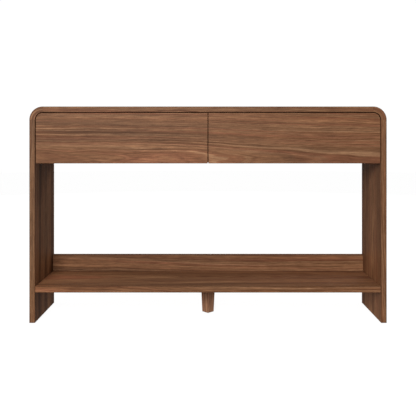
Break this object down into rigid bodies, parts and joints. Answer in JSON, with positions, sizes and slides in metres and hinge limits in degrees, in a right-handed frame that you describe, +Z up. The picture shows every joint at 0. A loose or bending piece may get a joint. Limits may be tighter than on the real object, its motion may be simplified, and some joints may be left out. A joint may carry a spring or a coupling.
{
  "type": "console table",
  "caption": "Walnut console table with rounded upper corners, push-to-open drawers on telescopic slides, a low shelf with a back rail, and a tapered middle foot.",
  "frame": {"origin": "on the floor, under the middle of the table's width and depth", "axes": "+X along the width, to the right as seen from the front; +Y from the front to the back; +Z up"},
  "size_m": [1.4, 0.3, 0.85],
  "materials": {
    "walnut_veneer": "matt lacquered walnut veneer",
    "solid_walnut": "matt lacquered solid walnut",
    "drawer_birch": "clear lacquered pale wood",
    "beech_dowel": "bare fluted beech",
    "zinc_steel": "bright zinc plate",
    "dark_nylon": "matt moulded nylon"
  },
  "bodies": {
    "frame": {"top_panel": "walnut_veneer", "corner_block_left": "solid_walnut", "corner_block_right": "solid_walnut", "side_panel_left": "walnut_veneer", "side_panel_right": "walnut_veneer", "bay_floor": "walnut_veneer", "bay_divider": "walnut_veneer", "bay_back": "walnut_veneer", "shelf": "walnut_veneer", "shelf_rail": "walnut_veneer", "middle_foot": "solid_walnut", "foot_bolt": "zinc_steel", "foot_insert": "zinc_steel", "glide_middle_foot": "dark_nylon", "divider_dowel_front": "beech_dowel", "divider_dowel_back": "beech_dowel", "glide_left_front": "dark_nylon", "floor_dowel_left_front": "beech_dowel", "shelf_cam_left_front": "zinc_steel", "shelf_cam_bolt_left_front": "zinc_steel", "glide_left_back": "dark_nylon", "floor_dowel_left_back": "beech_dowel", "shelf_cam_left_back": "zinc_steel", "shelf_cam_bolt_left_back": "zinc_steel", "left_inboard_slide_cabinet_member": "zinc_steel", "left_outboard_slide_cabinet_member": "zinc_steel", "left_latch_housing": "dark_nylon", "glide_right_front": "dark_nylon", "floor_dowel_right_front": "beech_dowel", "shelf_cam_right_front": "zinc_steel", "shelf_cam_bolt_right_front": "zinc_steel", "glide_right_back": "dark_nylon", "floor_dowel_right_back": "beech_dowel", "shelf_cam_right_back": "zinc_steel", "shelf_cam_bolt_right_back": "zinc_steel", "right_inboard_slide_cabinet_member": "zinc_steel", "right_outboard_slide_cabinet_member": "zinc_steel", "right_latch_housing": "dark_nylon"},
    "left_drawer": {"left_drawer_front": "walnut_veneer", "left_drawer_bottom": "drawer_birch", "left_drawer_box_left": "drawer_birch", "left_drawer_box_right": "drawer_birch", "left_drawer_box_front": "drawer_birch", "left_drawer_box_back": "drawer_birch", "left_inboard_slide_drawer_member": "zinc_steel", "left_outboard_slide_drawer_member": "zinc_steel"},
    "left_inboard_middle_member": {"left_inboard_slide_middle_member": "zinc_steel"},
    "left_outboard_middle_member": {"left_outboard_slide_middle_member": "zinc_steel"},
    "left_latch_plunger": {"left_latch_plunger": "dark_nylon"},
    "right_drawer": {"right_drawer_front": "walnut_veneer", "right_drawer_bottom": "drawer_birch", "right_drawer_box_left": "drawer_birch", "right_drawer_box_right": "drawer_birch", "right_drawer_box_front": "drawer_birch", "right_drawer_box_back": "drawer_birch", "right_inboard_slide_drawer_member": "zinc_steel", "right_outboard_slide_drawer_member": "zinc_steel"},
    "right_inboard_middle_member": {"right_inboard_slide_middle_member": "zinc_steel"},
    "right_outboard_middle_member": {"right_outboard_slide_middle_member": "zinc_steel"},
    "right_latch_plunger": {"right_latch_plunger": "dark_nylon"}
  },
  "joints": [
    {"name": "left_drawer_slide", "type": "slide", "parent": "frame", "child": "left_drawer", "axis": [0, -1, 0], "range_m": [0, 0.25]},
    {"name": "left_inboard_middle_slide", "type": "slide", "parent": "frame", "child": "left_inboard_middle_member", "axis": [0, -1, 0], "range_m": [0, 0.125]},
    {"name": "left_outboard_middle_slide", "type": "slide", "parent": "frame", "child": "left_outboard_middle_member", "axis": [0, -1, 0], "range_m": [0, 0.125]},
    {"name": "left_latch_press", "type": "slide", "parent": "frame", "child": "left_latch_plunger", "axis": [0, -1, 0], "range_m": [-0.003, 0], "stiffness_N_per_m": 400},
    {"name": "right_drawer_slide", "type": "slide", "parent": "frame", "child": "right_drawer", "axis": [0, -1, 0], "range_m": [0, 0.25]},
    {"name": "right_inboard_middle_slide", "type": "slide", "parent": "frame", "child": "right_inboard_middle_member", "axis": [0, -1, 0], "range_m": [0, 0.125]},
    {"name": "right_outboard_middle_slide", "type": "slide", "parent": "frame", "child": "right_outboard_middle_member", "axis": [0, -1, 0], "range_m": [0, 0.125]},
    {"name": "right_latch_press", "type": "slide", "parent": "frame", "child": "right_latch_plunger", "axis": [0, -1, 0], "range_m": [-0.003, 0], "stiffness_N_per_m": 400}
  ],
  "couplings": [
    {"joint": "left_inboard_middle_slide", "follows": "left_drawer_slide", "ratio": 0.5},
    {"joint": "left_outboard_middle_slide", "follows": "left_drawer_slide", "ratio": 0.5},
    {"joint": "right_inboard_middle_slide", "follows": "right_drawer_slide", "ratio": 0.5},
    {"joint": "right_outboard_middle_slide", "follows": "right_drawer_slide", "ratio": 0.5}
  ]
}
